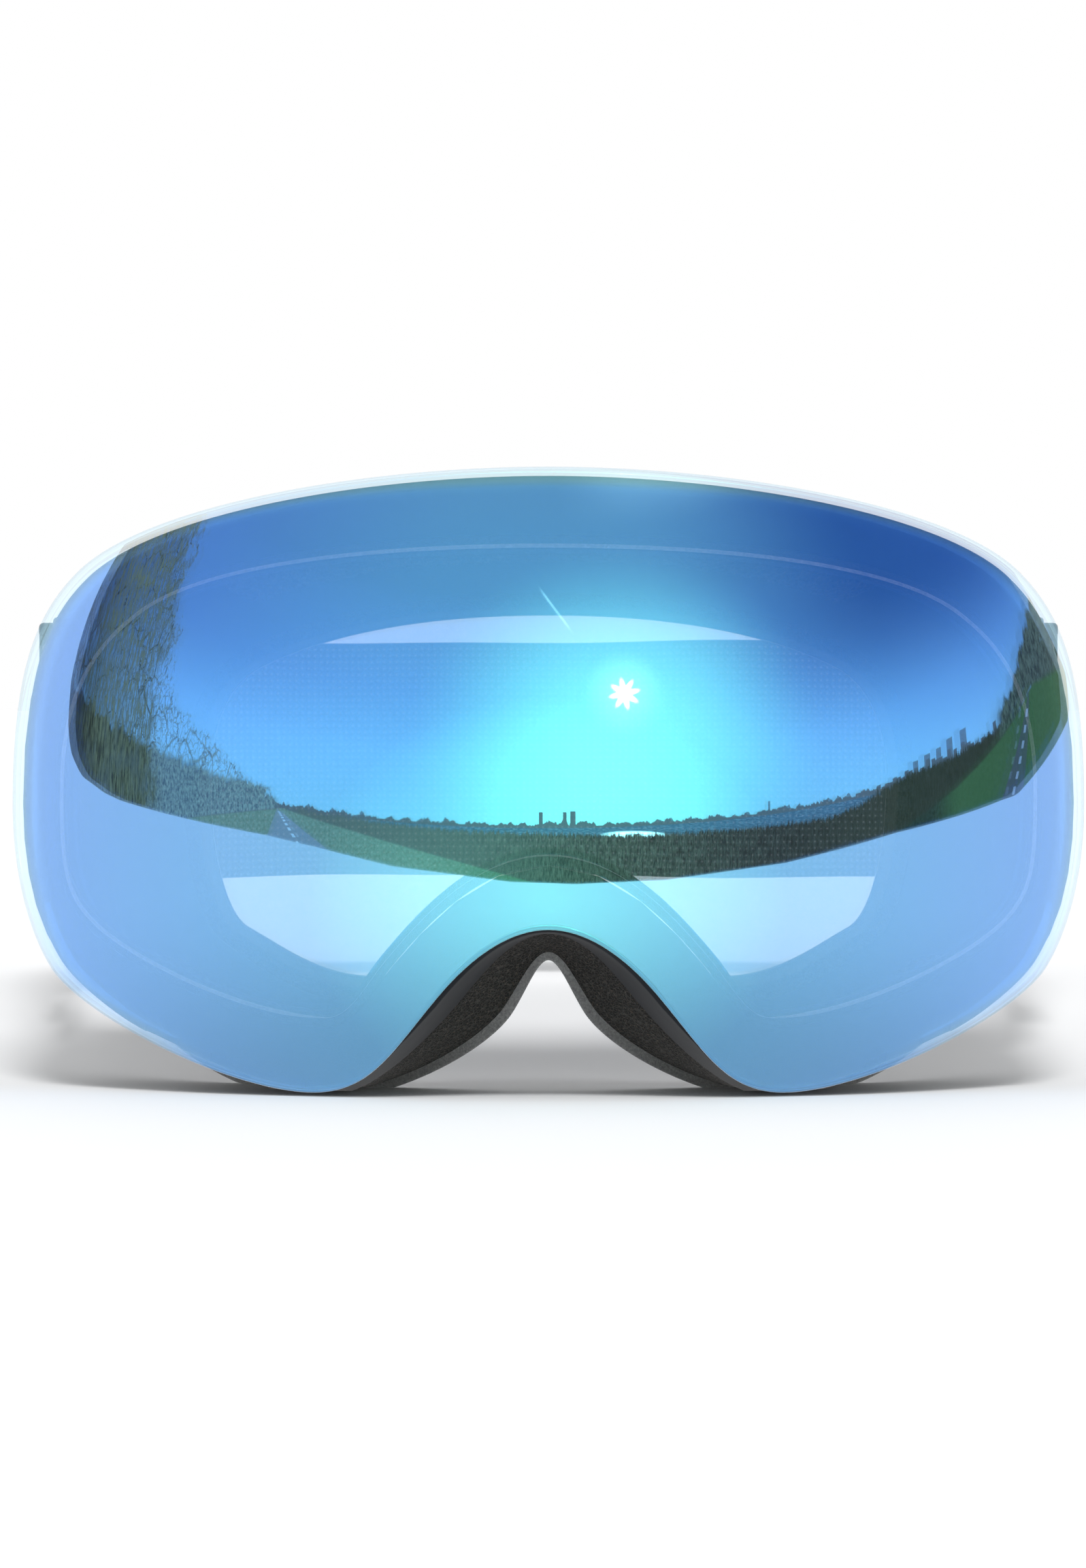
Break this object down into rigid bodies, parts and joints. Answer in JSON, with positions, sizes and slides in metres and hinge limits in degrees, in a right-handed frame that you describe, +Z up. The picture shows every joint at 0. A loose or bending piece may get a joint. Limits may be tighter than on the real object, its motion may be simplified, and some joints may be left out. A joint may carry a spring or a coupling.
{
  "type": "ski goggles",
  "caption": "Frameless ski goggles with a curved mirrored double lens held by magnets, a vented frame, face foam and an elastic strap on swivelling clips.",
  "frame": {"origin": "centre of the footprint, on the surface that the goggles stand on", "axes": "+Z up, +X to the right as seen from the front, +Y from the lens to the back of the head"},
  "size_m": [0.178, 0.1708, 0.102],
  "materials": {
    "mirror_lens": "blue mirror coating",
    "clear_lens": "clear, polished",
    "seal": "closed-cell foam",
    "carrier": "satin",
    "magnet": "nickel plated",
    "frame": "satin",
    "vent_foam": "open foam",
    "face_foam": "open foam",
    "fleece": "brushed fleece",
    "stud": "brushed",
    "strap": "woven elastic",
    "clip": "satin"
  },
  "bodies": {
    "frame_body": {"frame": "frame", "frame_magnet_1": "magnet", "frame_magnet_2": "magnet", "frame_magnet_3": "magnet", "frame_magnet_4": "magnet", "frame_magnet_5": "magnet", "frame_magnet_6": "magnet", "vent_foam_top": "vent_foam", "vent_foam_left": "vent_foam", "vent_foam_right": "vent_foam", "face_foam": "face_foam", "face_fleece": "fleece", "swivel_stud_left": "stud", "swivel_stud_right": "stud"},
    "lens_body": {"outer_lens": "mirror_lens", "inner_lens": "clear_lens", "lens_seal": "seal", "lens_carrier": "carrier", "lens_magnet_1": "magnet", "lens_magnet_2": "magnet", "lens_magnet_3": "magnet", "lens_magnet_4": "magnet", "lens_magnet_5": "magnet", "lens_magnet_6": "magnet"},
    "strap_body": {"strap": "strap", "strap_clip_left": "clip", "strap_clip_right": "clip"},
    "adjuster_body_left": {"adjuster_left": "clip"},
    "adjuster_body_right": {"adjuster_right": "clip"}
  },
  "joints": [
    {"name": "lens_release", "type": "slide", "parent": "frame_body", "child": "lens_body", "axis": [0, -1, 0], "range_m": [0, 0.06]},
    {"name": "strap_swing", "type": "hinge", "parent": "frame_body", "child": "strap_body", "pos_m": [0, -0.01042, 0.053], "axis": [1, 0, 0], "range_deg": [-30, 30]},
    {"name": "adjuster_slide_left", "type": "slide", "parent": "strap_body", "child": "adjuster_body_left", "axis": [0, -1, 0], "range_m": [0, 0.014]},
    {"name": "adjuster_slide_right", "type": "slide", "parent": "strap_body", "child": "adjuster_body_right", "axis": [0, -1, 0], "range_m": [0, 0.014]}
  ]
}
